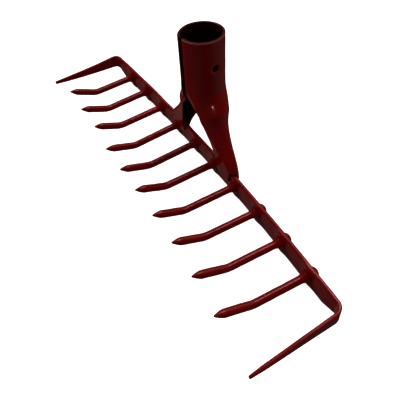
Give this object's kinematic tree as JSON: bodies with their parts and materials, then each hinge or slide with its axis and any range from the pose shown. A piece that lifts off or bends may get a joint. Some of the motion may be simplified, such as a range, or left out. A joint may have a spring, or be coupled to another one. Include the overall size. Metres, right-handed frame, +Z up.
{
  "type": "garden rake head",
  "caption": "Steel garden rake head: a slightly bowed flat bar with riveted, kinked round tines, bent pointed end tines and a forked open-seam handle socket.",
  "frame": {"origin": "centre of the handle socket's mouth", "axes": "+X along the bar, +Z up from the bar towards the socket's mouth, -Y the way the tines point; the socket's own axis leans 3.2 degrees back from +Z"},
  "size_m": [0.3062, 0.0862, 0.0998],
  "materials": {
    "painted_steel": "glossy dark red enamel",
    "painted_sheet": "glossy dark red enamel",
    "painted_weld": "glossy dark red enamel over a weld bead",
    "painted_wire": "glossy dark red enamel"
  },
  "bodies": {
    "root": {"head_bar": "painted_steel", "handle_socket": "painted_sheet", "weld_left": "painted_weld", "weld_right": "painted_weld", "tine_01": "painted_wire", "tine_02": "painted_wire", "tine_03": "painted_wire", "tine_04": "painted_wire", "tine_05": "painted_wire", "tine_06": "painted_wire", "tine_07": "painted_wire", "tine_08": "painted_wire", "tine_09": "painted_wire", "tine_10": "painted_wire"}
  },
  "joints": []
}
